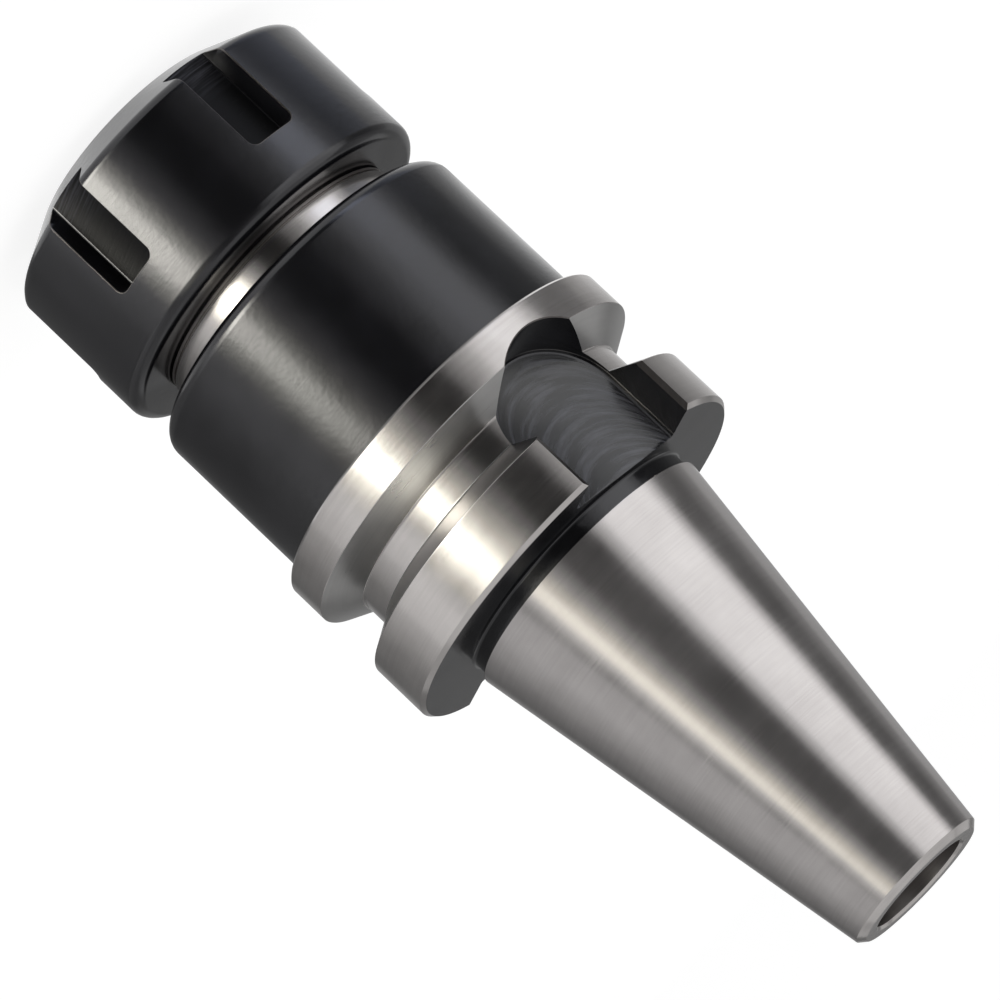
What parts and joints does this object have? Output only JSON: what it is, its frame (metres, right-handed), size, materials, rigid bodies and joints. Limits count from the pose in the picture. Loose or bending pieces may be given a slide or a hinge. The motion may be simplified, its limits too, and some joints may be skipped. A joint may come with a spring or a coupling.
{
  "type": "collet chuck holder",
  "caption": "Steep-taper tool holder: a one-piece arbor with a gripper flange and drive slots, a slitted spring collet, and a slotted clamping nut that screws onto its nose.",
  "frame": {"origin": "centre of the clamping nut's front face, which is the lowest face, with the part standing on it", "axes": "+Z along the spindle axis towards the small end of the taper; +X through the middle of one drive slot"},
  "size_m": [0.046, 0.046, 0.1168],
  "materials": {
    "arbor_steel": "ground taper, neck and flange rims; black oxide on the body, the flange's shank side and the drive slots",
    "nut_black_oxide": "satin black oxide on turned and milled steel",
    "collet_steel": "ground and polished spring steel"
  },
  "bodies": {
    "collet": {"collet": "collet_steel"},
    "clamping_nut": {"clamping_nut": "nut_black_oxide"},
    "arbor": {"arbor": "arbor_steel"}
  },
  "joints": [
    {"name": "arbor_slide", "type": "slide", "parent": "collet", "child": "arbor", "axis": [0, 0, 1], "range_m": [0, 0.0135]},
    {"name": "nut_spin", "type": "hinge", "parent": "collet", "child": "clamping_nut", "pos_m": [0, 0, 0.011], "axis": [0, 0, 1], "range_deg": [-3240, 0]}
  ],
  "couplings": [
    {"joint": "nut_spin", "follows": "arbor_slide", "rad_per_m": -4188.8}
  ]
}
